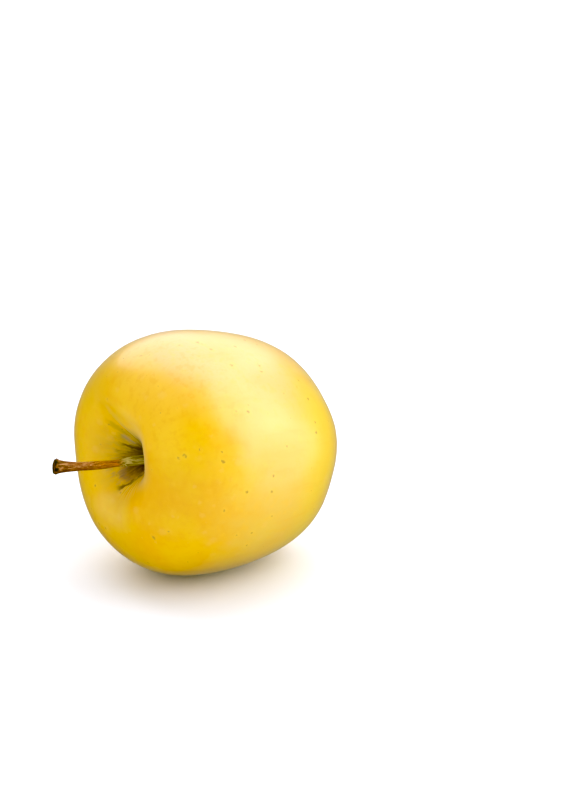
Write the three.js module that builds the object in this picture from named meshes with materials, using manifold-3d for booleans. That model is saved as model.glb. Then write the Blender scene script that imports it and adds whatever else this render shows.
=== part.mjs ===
// A ripe yellow apple lying on its side. Lengths are in millimetres and +Z is up.
// The apple's own axis runs from the blossom end to the stem. It rises a little
// towards the stem, which points to -X. The apple rests on a small flat on its cheek.
// A point in the apple's own frame is (up, back, along): up and back are measured from
// the axis, and along is measured on it from the widest ring towards the stem.
import * as THREE from 'three';
import Module from 'manifold-3d';

const wasm = await Module();
wasm.setup();

// ---- sizes in millimetres, angles in degrees

const AXIS_RISE = 9.5;

const BODY = {
  girth: 37, // radius of the widest ring, from which the heights below are counted
  shoulderRadius: 17.4, // the ring that surrounds the stem cavity
  shoulderHeight: 26,
  cavityFoot: 12.75, // height of the stem cavity's foot
  crownRadius: 10.9, // the ring that surrounds the blossom basin
  crownHeight: 46.2,
  basinFloor: 37.9, // depth of the basin's floor below the widest ring
};

// how far each curve of the profile runs straight on from its two ends
const FULLNESS = {
  cavity: [3.9, 8.1],
  shoulder: [10.8, 16.2],
  flank: [25.7, 16.3],
  basin: [4.6, 7.6],
};

// how the apple departs from a turned shape; angles run round the axis from its upper
// side towards the back, and sizes without a unit are shares of the radius
const FORM = {
  oval: { size: 0.0144, at: 10 }, // wider across this direction
  corner: { size: 0.0032, at: 44 }, // a faint three-sidedness
  lean: { size: 0.0133, at: -90 }, // shoulders fuller on this side, crown on the other
  ribs: { at: 5.5, crown: 0.022, shoulder: 0.006 }, // five soft ribs, strongest at the crown
  knob: 0.7, // height of the five knobs round the basin
  humps: { size: 0.7, at: 12 }, // the shoulder ring rises on two sides, across this direction
  bumps: 0.35, // height of the five faint bumps on the shoulder ring
  shoulderSlope: { size: 0.0813, at: 32 }, // the shoulders stand higher on this side
  crownSlope: { size: 0.027, at: -57.5 }, // the crown is lower on this side
};

// the cavity's foot lies a little off the axis, and folds run down its wall
const FOOT_OFFSET = { up: -1.3, back: -0.3 };
const FOLDS = [
  { at: 24, depth: 0.9, width: 15 },
  { at: 98, depth: 0.35, width: 20 },
  { at: 176, depth: 1, width: 14 },
  { at: 243, depth: 0.5, width: 17 },
  { at: 312, depth: 0.6, width: 16 },
];

const REST_PRESS = 0.66; // how much of the cheek is flattened to make the resting spot

const STEM = {
  foot: [-1.3, -0.3, 12.4], // where it starts, and the points that steer its bend
  rise: [-1.1, 0, 21.6],
  bend: [-3, 0.3, 28.6],
  tip: [-3, 4.6, 43.8],
  // share of the length, then radius: swollen foot, waist, shaft and flared end
  stations: [
    [0, 1.45], [0.22, 1.42], [0.4, 1.02], [0.52, 1.27],
    [0.75, 1.3], [0.9, 1.6], [0.97, 1.95], [1, 1.8],
  ],
  ridges: 0.05, // three lengthwise ridges, as a share of the radius
  spread: 0.12, // how much wider the cut end is up and down
  dish: 0.35, // depth of the scar in the cut end
};

const SOCKET = { depth: 0.85, gap: 0.35 }; // the hole in the cavity's foot that holds the stem

const SEPAL = {
  length: 6.2,
  width: 3,
  thickness: 0.55,
  ring: 3, // distance of its foot from the axis
  gap: 0.25,
  // the points that steer its curl: shares of the ring outwards, then of the length
  curl: [[1, 0], [0.9, 0.4], [0.25, 0.55], [0.8, 0.85]],
  point: 0.08, // share of the width left at the tip
  thinning: 0.6, // share of the thickness lost by the tip
};

const STAMENS = {
  count: 7,
  ring: 0.95, // distance of the threads' feet from the axis
  lean: 14, // angle of each thread from the axis
  length: 2.6,
  radius: 0.28,
  taper: 0.6,
  cushion: 1.45, // radius of the pad they stand on, which is half as high as it is wide
  gap: 0.3,
};

const MESH = {
  sectors: 72,
  rings: { cavity: 12, shoulder: 10, flank: 15, basin: 12 },
  stemSectors: 18,
  stemRings: 32,
  sepalSectors: 10,
  sepalRings: 8,
};

const COLOURS = {
  skin: [0.87, 0.63, 0.06],
  stem: [0.36, 0.18, 0.07],
  sepal: [0.2, 0.14, 0.07],
  stamens: [0.08, 0.05, 0.03],
};

// ---- the apple's surface

const wave = (angle, at, count = 1) => Math.cos(THREE.MathUtils.degToRad(count * (angle - at)));

function bezier(from, fromHandle, toHandle, to, t) {
  const s = 1 - t;
  const mix = (k) => s ** 3 * from[k] + 3 * s * s * t * fromHandle[k]
    + 3 * s * t * t * toHandle[k] + t ** 3 * to[k];
  return from.map((_, k) => mix(k));
}

// The four curves of the profile as (radius, height), from the cavity's foot round the
// shoulder, the widest ring and the crown to the basin's floor.
function profileCurves() {
  const foot = [0, BODY.cavityFoot];
  const shoulder = [BODY.shoulderRadius, BODY.shoulderHeight];
  const widest = [BODY.girth, 0];
  const crown = [BODY.crownRadius, -BODY.crownHeight];
  const floor = [0, -BODY.basinFloor];
  const moved = ([radius, height], outward, upward) => [radius + outward, height + upward];
  const { cavity, shoulder: cheek, flank, basin } = FULLNESS;
  return {
    cavity: [foot, moved(foot, cavity[0], 0), moved(shoulder, -cavity[1], 0), shoulder],
    shoulder: [shoulder, moved(shoulder, cheek[0], 0), moved(widest, 0, cheek[1]), widest],
    flank: [widest, moved(widest, 0, -flank[0]), moved(crown, flank[1], 0), crown],
    basin: [crown, moved(crown, -basin[0], 0), moved(floor, basin[1], 0), floor],
  };
}

// Points along the whole profile, with the given number of steps in each curve.
function profile(steps) {
  const curves = profileCurves();
  const points = [curves.cavity[0]];
  for (const [name, curve] of Object.entries(curves)) {
    for (let i = 1; i <= steps[name]; i += 1) points.push(bezier(...curve, i / steps[name]));
  }
  return points;
}

// Depth of the folds in the stem cavity at one angle and distance from the axis.
function foldDepth(radius, angle) {
  const down = Math.sin(Math.PI * Math.min(radius / BODY.shoulderRadius, 1));
  const away = (fold) => THREE.MathUtils.euclideanModulo(angle - fold.at + 180, 360) - 180;
  const groove = (fold) => fold.depth * Math.exp(-((away(fold) / fold.width) ** 2));
  return down * FOLDS.reduce((sum, fold) => sum + groove(fold), 0);
}

// Share of the radius by which the body swells at one angle and level.
function swelling(angle, level, shoulders, crown) {
  const { oval, corner, lean, ribs } = FORM;
  return 1 + oval.size * wave(angle, oval.at, 2) + corner.size * wave(angle, corner.at, 3)
    + lean.size * level * wave(angle, lean.at)
    + (ribs.crown * crown + ribs.shoulder * shoulders) * wave(angle, ribs.at, 5);
}

// How far the shoulders and the crown stand above or below the turned shape.
function lift(radius, angle, shoulders, crown) {
  const { shoulderSlope, crownSlope, ribs, knob, humps, bumps } = FORM;
  const onRing = (ring) => Math.sin(Math.PI * Math.min(radius / (2 * ring), 1));
  const ridge = humps.size * wave(angle, humps.at, 2) + bumps * wave(angle, ribs.at, 5);
  return radius * shoulderSlope.size * shoulders * wave(angle, shoulderSlope.at)
    + radius * crownSlope.size * crown * wave(angle, crownSlope.at)
    + ridge * shoulders * onRing(BODY.shoulderRadius)
    - knob * crown * onRing(BODY.crownRadius) * wave(angle, ribs.at, 5);
}

// The surface point above one profile point at one angle, in the apple's own frame.
function skinPoint([radius, height], angle) {
  const level = height > 0 ? height / BODY.shoulderHeight : height / BODY.crownHeight;
  const shoulders = Math.max(level, 0) ** 2;
  const crown = Math.max(-level, 0) ** 1.5;
  const reach = radius * swelling(angle, level, shoulders, crown);
  const inCavity = height > 0 ? Math.max(1 - radius / BODY.shoulderRadius, 0) ** 2 : 0;
  const fold = height > 0 ? foldDepth(radius, angle) : 0;
  return new THREE.Vector3(
    reach * wave(angle, 0) + FOOT_OFFSET.up * inCavity,
    reach * wave(angle, 90) + FOOT_OFFSET.back * inCavity,
    height + lift(radius, angle, shoulders, crown) - fold,
  );
}

// ---- where the apple lies

const turned = new THREE.Matrix4().makeBasis(
  new THREE.Vector3(wave(AXIS_RISE, 90), 0, wave(AXIS_RISE, 0)),
  new THREE.Vector3(0, 1, 0),
  new THREE.Vector3(-wave(AXIS_RISE, 0), 0, wave(AXIS_RISE, 90)),
);

// The lowest point of the body once its axis is turned, found on a close net of points.
function lowestPoint() {
  let lowest = new THREE.Vector3(0, 0, Infinity);
  for (const pair of profile({ cavity: 1, shoulder: 100, flank: 200, basin: 1 })) {
    for (let angle = 0; angle < 360; angle += 1) {
      const point = skinPoint(pair, angle).applyMatrix4(turned);
      if (point.z < lowest.z) lowest = point;
    }
  }
  return lowest;
}

// From the apple's own frame to the world, with the resting spot's centre at the origin.
function restingPlace() {
  const low = lowestPoint();
  const shift = new THREE.Matrix4().makeTranslation(-low.x, -low.y, -low.z - REST_PRESS);
  return shift.multiply(turned);
}

const placed = restingPlace();

// ---- closed solids from rings of points

// Joins rings of points into a closed solid. The rings run from the stem end to the
// blossom end and the points of each turn from up to back, so that the faces point out.
// The first and the last ring hold a single point.
function loft(rings) {
  const positions = rings.flat().flatMap((point) => point.toArray());
  const starts = [];
  rings.reduce((count, ring, i) => {
    starts[i] = count;
    return count + ring.length;
  }, 0);
  const corner = (i, j) => starts[i] + (j % rings[i].length);
  const faces = [];
  for (let i = 0; i + 1 < rings.length; i += 1) {
    const sectors = Math.max(rings[i].length, rings[i + 1].length);
    for (let j = 0; j < sectors; j += 1) {
      if (rings[i + 1].length > 1) faces.push(corner(i, j), corner(i + 1, j), corner(i + 1, j + 1));
      if (rings[i].length > 1) faces.push(corner(i, j), corner(i + 1, j + 1), corner(i, j + 1));
    }
  }
  const geometry = new THREE.BufferGeometry();
  geometry.setAttribute('position', new THREE.Float32BufferAttribute(positions, 3));
  geometry.setIndex(faces);
  return geometry;
}

function toSolid(geometry) {
  return new wasm.Manifold(new wasm.Mesh({
    numProp: 3,
    vertProperties: new Float32Array(geometry.attributes.position.array),
    triVerts: new Uint32Array(geometry.index.array),
  }));
}

function fromSolid(solid) {
  const mesh = solid.getMesh();
  const geometry = new THREE.BufferGeometry();
  geometry.setAttribute('position', new THREE.Float32BufferAttribute(mesh.vertProperties, 3));
  geometry.setIndex(Array.from(mesh.triVerts));
  return geometry;
}

// Points evenly spread round a centre, as far from it as reach(angle) says.
function ringAround(centre, first, second, sectors, reach) {
  return Array.from({ length: sectors }, (_, j) => {
    const angle = (360 * j) / sectors;
    const [one, two] = reach(angle);
    return centre.clone()
      .addScaledVector(first, one * wave(angle, 0))
      .addScaledVector(second, two * wave(angle, 90));
  });
}

function named(name, geometry, colour, roughness) {
  const shown = geometry.toNonIndexed();
  shown.computeVertexNormals();
  const material = new THREE.MeshStandardMaterial({
    color: new THREE.Color(...colour),
    roughness,
    metalness: 0,
  });
  const mesh = new THREE.Mesh(shown, material);
  mesh.name = name;
  return mesh;
}

// ---- fruit

function skinRings() {
  const turn = Array.from({ length: MESH.sectors }, (_, j) => (360 * j) / MESH.sectors);
  return profile(MESH.rings).map((pair, i, all) => {
    const atPole = i === 0 || i === all.length - 1;
    return (atPole ? [0] : turn).map((angle) => skinPoint(pair, angle));
  });
}

// The hole that the stem's foot stands in.
function socket() {
  const [up, back, along] = STEM.foot;
  const radius = STEM.stations[0][1] + SOCKET.gap;
  const height = 2 * SOCKET.depth;
  const middle = new THREE.Matrix4().makeTranslation(up, back, along - SOCKET.gap + height / 2);
  const solid = wasm.Manifold.cylinder(height, radius, radius, 24, true);
  return solid.transform(placed.clone().multiply(middle).elements);
}

// The part of the apple's cheek that would lie below the floor.
function floorBlock() {
  const size = 2 * BODY.girth;
  return wasm.Manifold.cube([size, size, size], true).translate([0, 0, -size / 2]);
}

function fruit() {
  const whole = toSolid(loft(skinRings()).applyMatrix4(placed));
  return fromSolid(whole.subtract(floorBlock()).subtract(socket()));
}

// ---- stem

function stemRadius(share) {
  const next = STEM.stations.findIndex(([at]) => at >= share);
  if (next <= 0) return STEM.stations[0][1];
  const [from, thin] = STEM.stations[next - 1];
  const [to, thick] = STEM.stations[next];
  return THREE.MathUtils.mapLinear(share, from, to, thin, thick);
}

// One ring of the stem, square to its centre line.
function stemRing(line, share) {
  const centre = line.getPointAt(share);
  const along = line.getTangentAt(share);
  const back = new THREE.Vector3().crossVectors(along, new THREE.Vector3(1, 0, 0)).normalize();
  const up = new THREE.Vector3().crossVectors(back, along);
  const flare = STEM.spread * THREE.MathUtils.smoothstep(share, 0.8, 1);
  return ringAround(centre, up, back, MESH.stemSectors, (angle) => {
    const shape = 1 + STEM.ridges * wave(angle, 30, 3) + flare * wave(angle, 0, 2);
    return [stemRadius(share) * shape, stemRadius(share) * shape];
  });
}

function stem() {
  const points = [STEM.foot, STEM.rise, STEM.bend, STEM.tip].map((p) => new THREE.Vector3(...p));
  const line = new THREE.CubicBezierCurve3(...points);
  const steps = MESH.stemRings;
  const rings = Array.from({ length: steps + 1 }, (_, i) => stemRing(line, 1 - i / steps));
  const scar = line.getPointAt(1).addScaledVector(line.getTangentAt(1), -STEM.dish);
  return loft([[scar], ...rings, [line.getPointAt(0)]]).applyMatrix4(placed);
}

// ---- dried flower parts in the blossom basin

// How far along the axis the basin's skin lies at one distance and angle.
function basinSkin(radius, angle) {
  const curve = profileCurves().basin;
  const steps = 200;
  for (let i = steps; i > 0; i -= 1) {
    const pair = bezier(...curve, i / steps);
    if (pair[0] >= radius) return skinPoint(pair, angle).z;
  }
  return -BODY.crownHeight;
}

// Where a sepal starts, clear of the skin under the middle and the corners of its foot.
function sepalStart(angle) {
  const corner = new THREE.Vector2(SEPAL.ring + SEPAL.thickness / 2, SEPAL.width / 2);
  const aside = THREE.MathUtils.radToDeg(corner.angle());
  const floors = [-aside, 0, aside].map((turn) => basinSkin(corner.length(), angle + turn));
  return Math.min(...floors) - SEPAL.gap;
}

// One sepal: a pointed blade that rises from the basin, closes in and then curls out.
function sepal(index) {
  const angle = 72 * index + FORM.ribs.at + 36;
  const outward = new THREE.Vector3(wave(angle, 0), wave(angle, 90), 0);
  const across = new THREE.Vector3(-outward.y, outward.x, 0);
  const start = sepalStart(angle);
  const points = SEPAL.curl.map(([outer, below]) => outward.clone()
    .multiplyScalar(SEPAL.ring * outer)
    .setZ(start - SEPAL.length * below));
  const line = new THREE.CubicBezierCurve3(...points);
  const ring = (share) => {
    const face = new THREE.Vector3().crossVectors(across, line.getTangentAt(share)).normalize();
    const width = (SEPAL.width / 2) * (1 - share ** 1.6 * (1 - SEPAL.point));
    const thickness = (SEPAL.thickness / 2) * (1 - share * SEPAL.thinning);
    return ringAround(line.getPointAt(share), across, face, MESH.sepalSectors, () => [width, thickness]);
  };
  const steps = MESH.sepalRings;
  const rings = Array.from({ length: steps + 1 }, (_, i) => ring(i / steps));
  return loft([[line.getPointAt(0)], ...rings, [line.getPointAt(1)]]).applyMatrix4(placed);
}

// The brush of dried threads that stands inside the sepals.
function stamens() {
  const { count, ring, lean, length, radius, taper, cushion, gap } = STAMENS;
  const floor = -BODY.basinFloor - gap - cushion / 2;
  const pad = wasm.Manifold.sphere(cushion, 20).scale([1, 1, 0.5]).translate([0, 0, floor]);
  const thread = wasm.Manifold.cylinder(length, radius, radius * taper, 8)
    .rotate([180 - lean, 0, 0])
    .translate([0, ring, floor]);
  let solid = pad;
  for (let index = 0; index < count; index += 1) {
    solid = solid.add(thread.rotate([0, 0, (360 / count) * index]));
  }
  return fromSolid(solid.transform(placed.elements));
}

// ---- the whole apple

const apple = new THREE.Group();
apple.name = 'apple';
apple.add(named('fruit', fruit(), COLOURS.skin, 0.4));
apple.add(named('stem', stem(), COLOURS.stem, 0.7));
for (let index = 0; index < 5; index += 1) {
  apple.add(named(`sepal_${index + 1}`, sepal(index), COLOURS.sepal, 0.85));
}
apple.add(named('stamens', stamens(), COLOURS.stamens, 0.9));

export default apple;
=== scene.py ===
# %% [markdown]
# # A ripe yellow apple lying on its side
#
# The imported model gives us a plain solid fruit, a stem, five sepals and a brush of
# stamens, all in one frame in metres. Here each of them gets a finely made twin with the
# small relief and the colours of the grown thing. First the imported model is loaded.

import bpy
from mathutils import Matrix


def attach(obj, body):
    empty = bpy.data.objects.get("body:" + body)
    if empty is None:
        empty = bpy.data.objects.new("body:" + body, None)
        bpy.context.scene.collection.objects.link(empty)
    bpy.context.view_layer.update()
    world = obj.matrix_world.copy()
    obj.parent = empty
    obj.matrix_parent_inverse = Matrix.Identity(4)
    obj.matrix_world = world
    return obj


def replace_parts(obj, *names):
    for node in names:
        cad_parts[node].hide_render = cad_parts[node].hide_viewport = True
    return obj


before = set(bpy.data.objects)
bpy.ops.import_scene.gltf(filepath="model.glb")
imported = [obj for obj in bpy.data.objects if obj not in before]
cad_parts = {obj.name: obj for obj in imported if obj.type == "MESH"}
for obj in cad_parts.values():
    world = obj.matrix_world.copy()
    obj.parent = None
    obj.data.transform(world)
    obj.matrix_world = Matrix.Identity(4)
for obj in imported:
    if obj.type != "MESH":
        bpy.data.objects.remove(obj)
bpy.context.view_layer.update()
print("nodes in the frame:", sorted(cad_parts))

# %% [markdown]
# ## Camera
#
# The apple could be framed in the middle, but it stands low and left in a tall picture
# with a lot of white round it. So we aim a long lens at a point beside the apple. A long
# lens keeps the stem end from looking too big against the rest.

# %% Camera
import math

import bpy
import numpy as np
from mathutils import Vector, noise

MM = 0.001


def direction(azimuth, elevation):
    """The way from the apple towards something seen at these angles, in degrees."""
    a, e = math.radians(azimuth), math.radians(elevation)
    return Vector((math.sin(a) * math.cos(e), -math.cos(a) * math.cos(e), math.sin(e)))


VIEW_AZIMUTH, VIEW_ELEVATION = -37, 20
AIM = Vector((21.8, -15.6, 52.5)) * MM
VIEW_DISTANCE = 0.679

camera = bpy.data.objects.new("camera", bpy.data.cameras.new("camera"))
bpy.context.scene.collection.objects.link(camera)
camera.data.lens, camera.data.sensor_width = 100, 36
camera.data.clip_end = 20
back = direction(VIEW_AZIMUTH, VIEW_ELEVATION)
camera.location = AIM + back * VIEW_DISTANCE
camera.rotation_mode = "QUATERNION"
camera.rotation_quaternion = back.to_track_quat("Z", "Y")
bpy.context.scene.camera = camera
print("camera stands at", [round(c, 3) for c in camera.location])

# %% [markdown]
# ## The turned shape of the fruit
#
# An apple grows almost as if turned on a lathe: a stem cavity, full shoulders, a widest
# ring, a flank that narrows, and a basin where the blossom was. It could be sculpted, but
# then it would drift from the solid. So we use the same four Bezier curves as the solid,
# in millimetres, and only take many more points along them.

# %% Profile of the fruit
GIRTH = 37
SHOULDER = (17.4, 26)
CROWN = (10.9, -46.2)
CAVITY_FOOT = 12.75
BASIN_FLOOR = -37.9
# how long the two handles of each curve are
CAVITY_EASE = (3.9, 8.1)
SHOULDER_EASE = (10.8, 16.2)
FLANK_EASE = (25.7, 16.3)
BASIN_EASE = (4.6, 7.6)
SHARES = {"cavity": 72, "shoulder": 40, "flank": 60, "basin": 44}


def bezier(points, count):
    """Points on one cubic Bezier curve, without its first."""
    t = np.linspace(0, 1, count + 1)[1:, None]
    a, b, c, d = (np.array(p, float) for p in points)
    s = 1 - t
    return s**3 * a + 3 * s * s * t * b + 3 * s * t * t * c + t**3 * d


def fruit_curves():
    """The four curves as points of (radius, height), height counted from the widest ring."""
    (shoulder, shoulder_up), (crown, crown_up) = SHOULDER, CROWN
    foot, foot_handle = (0, CAVITY_FOOT), (CAVITY_EASE[0], CAVITY_FOOT)
    over_foot = (shoulder - CAVITY_EASE[1], shoulder_up)
    off_shoulder, over_girth = (shoulder + SHOULDER_EASE[0], shoulder_up), (GIRTH, SHOULDER_EASE[1])
    under_girth, off_crown = (GIRTH, -FLANK_EASE[0]), (crown + FLANK_EASE[1], crown_up)
    into_basin, floor_handle = (crown - BASIN_EASE[0], crown_up), (BASIN_EASE[1], BASIN_FLOOR)
    return {
        "cavity": [foot, foot_handle, over_foot, SHOULDER],
        "shoulder": [SHOULDER, off_shoulder, over_girth, (GIRTH, 0)],
        "flank": [(GIRTH, 0), under_girth, off_crown, CROWN],
        "basin": [CROWN, into_basin, floor_handle, (0, BASIN_FLOOR)],
    }


def fruit_profile(shares):
    """The whole profile, with this many points on each curve."""
    curves = fruit_curves()
    parts = [bezier(curves[name], shares[name]) for name in curves]
    return np.concatenate([[(0, CAVITY_FOOT)], *parts])


profile = fruit_profile(SHARES)
print(len(profile), "points from the cavity's foot to the basin's floor")

# %% [markdown]
# ## Grown, not turned
#
# A real fruit leans, has five soft ribs from its five seed chambers, and folds where the
# skin dips to the stem. Its shoulder ring rises in humps, and knobs stand round the
# basin. All of these are slow waves round the axis, so each is one cosine or one dent,
# with a size and the angle where it is strongest.

# %% How the fruit departs from a turned shape
# shares of the radius, and angles round the axis from the upper side towards the back
OVAL, OVAL_AT = 0.0144, 10
CORNERS, CORNERS_AT = 0.0032, 44
LEAN, LEAN_AT = 0.0133, -90
CROWN_RIBS, SHOULDER_RIBS, RIBS_AT = 0.022, 0.006, 5.5
SHOULDER_SLOPE, SHOULDER_SLOPE_AT = 0.0813, 32
CROWN_SLOPE, CROWN_SLOPE_AT = 0.027, -57.5
# millimetres
KNOB = 0.7
HUMPS, HUMPS_AT = 0.7, 12
BUMPS = 0.35
STEM_FOOT = (-1.3, -0.3)
# angle, depth and width of each fold on the cavity's wall
FOLDS = [(24, 0.9, 15), (98, 0.35, 20), (176, 1, 14), (243, 0.5, 17), (312, 0.6, 16)]


def wave(angle, at, count=1):
    """A cosine round the axis with this many crests, one of them at this angle."""
    return np.cos(np.radians(count * (angle - at)))


def groove(angle, at, width):
    """1 on a line down the wall at this angle, 0 away from it."""
    away = (angle - at + 180) % 360 - 180
    return np.exp(-((away / width) ** 2))


def arch(radius, span):
    """0 on the axis, 1 halfway out, and 0 again from this distance on."""
    return np.sin(np.pi * np.clip(radius / span, 0, 1))


print("the cavity's wall has", len(FOLDS), "folds")

# %% [markdown]
# ## Surface of the fruit
#
# The waves could be laid on the finished mesh one after another, but then the solid and
# the twin would differ. One function gives the place of any point of the skin, from its
# place on the profile and its angle. It measures up and back from the axis, and along it
# from the widest ring towards the stem.


# %% Points of the skin in the apple's own frame
def girth_share(level, shoulders, crown, angle):
    """How much wider than turned the fruit is, as a factor."""
    share = 1 + OVAL * wave(angle, OVAL_AT, 2) + CORNERS * wave(angle, CORNERS_AT, 3)
    share = share + LEAN * level * wave(angle, LEAN_AT)
    return share + (CROWN_RIBS * crown + SHOULDER_RIBS * shoulders) * wave(angle, RIBS_AT, 5)


def skin_points(radius, height, angle):
    """Points of the skin as (up, back, along), measured from the apple's own axis."""
    above = height > 0
    level = np.where(above, height / SHOULDER[1], -height / CROWN[1])
    shoulders, crown = np.clip(level, 0, 1) ** 2, np.clip(-level, 0, 1) ** 1.5
    ribs = wave(angle, RIBS_AT, 5)
    out = radius * girth_share(level, shoulders, crown, angle)
    in_cavity = np.where(above, np.clip(1 - radius / SHOULDER[0], 0, 1) ** 2, 0)
    folds = sum(depth * groove(angle, at, width) for at, depth, width in FOLDS)
    fold_share = np.where(above, arch(radius, SHOULDER[0]), 0)
    knobs = arch(radius, 2 * CROWN[0]) * crown * ribs
    ridge = arch(radius, 2 * SHOULDER[0]) * shoulders
    ridge = ridge * (HUMPS * wave(angle, HUMPS_AT, 2) + BUMPS * ribs)
    slopes = SHOULDER_SLOPE * shoulders * wave(angle, SHOULDER_SLOPE_AT)
    slopes = slopes + CROWN_SLOPE * crown * wave(angle, CROWN_SLOPE_AT)
    up = out * wave(angle, 0) + STEM_FOOT[0] * in_cavity
    back_way = out * wave(angle, 90) + STEM_FOOT[1] * in_cavity
    along = height + radius * slopes + ridge - KNOB * knobs - fold_share * folds
    return np.stack([up, back_way, along], -1)


widest = skin_points(np.array([GIRTH]), np.array([0]), 0)[0, 0]
print("the widest ring reaches", round(widest, 2), "mm up from the axis")

# %% [markdown]
# ## Laying it down
#
# The apple lies on its cheek with the stem end a little raised. The solid was turned and
# then dropped onto its lowest point, pressed flat by two thirds of a millimetre. We
# repeat that, so the twin meets the floor in the same spot.

# %% From the apple's own frame to the world
AXIS_RISE = math.radians(9.5)
REST_PRESS = 0.66
UP_SIDE = Vector((math.sin(AXIS_RISE), 0, math.cos(AXIS_RISE)))
BACK_SIDE = Vector((0, 1, 0))
STEM_WAY = Vector((-math.cos(AXIS_RISE), 0, math.sin(AXIS_RISE)))
TURN = np.array([UP_SIDE, BACK_SIDE, STEM_WAY])


def lowest_point():
    """The point of the turned fruit that comes down first, before it is dropped."""
    net = fruit_profile({"cavity": 1, "shoulder": 100, "flank": 200, "basin": 1})
    angle = np.arange(360)[None, :]
    points = skin_points(net[:, :1], net[:, 1:], angle) @ TURN
    return points.reshape(-1, 3)[points[..., 2].argmin()]


SHIFT = -lowest_point() - (0, 0, REST_PRESS)


def placed(own):
    """World positions in metres of points given in the apple's own frame."""
    return (np.asarray(own) @ TURN + SHIFT) * MM


print("the widest ring's centre lies at", np.round(SHIFT, 2), "mm")

# %% [markdown]
# ## Skin mesh
#
# The skin could be one subdivided sphere, but its poles would pinch and its faces would
# not follow the folds. Rings along the profile put small faces in the cavity, where the
# folds are, and wide ones on the plain flank. Two poles close it.


# %% A closed mesh from rings of points
def ringed_mesh(name, rings, first, last):
    """A closed piece from rings of points between two end points, all in the world."""
    count, sectors = len(rings), len(rings[0])
    points = np.concatenate([[first], np.reshape(rings, (-1, 3)), [last]])
    end = len(points) - 1

    def at(ring, sector):
        return 1 + ring * sectors + sector % sectors

    faces = [(0, at(0, j), at(0, j + 1)) for j in range(sectors)]
    for i in range(count - 1):
        faces += [(at(i, j), at(i + 1, j), at(i + 1, j + 1), at(i, j + 1)) for j in range(sectors)]
    faces += [(at(count - 1, j + 1), at(count - 1, j), end) for j in range(sectors)]
    mesh = bpy.data.meshes.new(name)
    mesh.from_pydata(points.tolist(), [], faces)
    mesh.shade_smooth()
    piece = bpy.data.objects.new(name, mesh)
    bpy.context.scene.collection.objects.link(piece)
    return piece


SECTORS = 384
angles = np.arange(SECTORS)[None, :] * 360 / SECTORS
own_rings = skin_points(profile[1:-1, :1], profile[1:-1, 1:], angles)
poles = skin_points(profile[[0, -1], 0], profile[[0, -1], 1], 0)
skin = ringed_mesh("skin", placed(own_rings), *placed(poles))
print("skin:", len(skin.data.polygons), "faces")

# %% [markdown]
# ## Fine relief of the skin
#
# Under a low light the cheek is not smooth: it has broad shallow dents, and fine pleats
# gather round the stem and round the eye. A displacement texture could do this, but
# moving the points in code keeps the relief in the mesh itself, where every view and
# export sees it.

# %% Depth of the dents and pleats
PLEATS, PLEAT_WIDTH = 46, 2.6
EYE_PLEATS = 1.3  # how much deeper the pleats are round the eye than round the stem
BROAD_DENT, BROAD_DENT_SIZE = 0.16, 13
SMALL_DENT, SMALL_DENT_SIZE = 0.035, 4.5
draw = np.random.default_rng(7)
pleat_angles = np.arange(PLEATS) * 360 / PLEATS + draw.uniform(-3, 3, PLEATS)
pleat_depths = draw.uniform(0.02, 0.14, PLEATS)


def smooth(x, start, end):
    """0 before start, 1 after end, and an S-curve between them."""
    t = np.clip((x - start) / (end - start), 0, 1)
    return t * t * (3 - 2 * t)


def noise_field(points, scale):
    """Smooth noise whose blobs are about this many millimetres across."""
    return np.array([noise.noise(Vector(p) / scale) for p in points])


def relief_height(own):
    """How far each point of the skin moves outwards, in millimetres."""
    up, back_way = own[:, 0] - STEM_FOOT[0], own[:, 1] - STEM_FOOT[1]
    out, turn = np.hypot(up, back_way), np.degrees(np.arctan2(back_way, up))
    lines = zip(pleat_angles, pleat_depths)
    pleats = sum(depth * groove(turn, angle, PLEAT_WIDTH) for angle, depth in lines)
    near_stem = (own[:, 2] > 5) * smooth(out, 1.6, 3.5) * (1 - smooth(out, 6, 13))
    near_eye = (own[:, 2] < -30) * smooth(out, 2, 4) * (1 - smooth(out, 6, 12))
    dents = BROAD_DENT * noise_field(own, BROAD_DENT_SIZE)
    dents = dents + SMALL_DENT * noise_field(own + 50, SMALL_DENT_SIZE)
    return dents - pleats * (near_stem + EYE_PLEATS * near_eye)


own_points = np.concatenate([poles[:1], own_rings.reshape(-1, 3), poles[1:]])
relief = relief_height(own_points)
print("relief runs from", round(relief.min(), 2), "to", round(relief.max(), 2), "mm")


# %% Move the skin's points along their normals
def move_outwards(piece, height):
    """Moves each point along its normal, but never below the floor."""
    normals = np.empty(len(height) * 3)
    piece.data.vertices.foreach_get("normal", normals)
    points = np.empty(len(height) * 3)
    piece.data.vertices.foreach_get("co", points)
    points += normals * np.repeat(height, 3) * MM
    points[2::3] = np.maximum(points[2::3], 0)
    piece.data.vertices.foreach_set("co", points)
    piece.data.update()


move_outwards(skin, relief)
print("the skin's lowest point is at", round(min(v.co.z for v in skin.data.vertices) / MM, 3), "mm")

# %% [markdown]
# ## Writing a finish as sums
#
# A finish is a net of nodes, and shader maths made by hand is hard to read. So one small
# class wraps a socket and lets us add, subtract, multiply and divide it in Python: each
# sum quietly adds its node. The reflected forms let a plain number come first.


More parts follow.
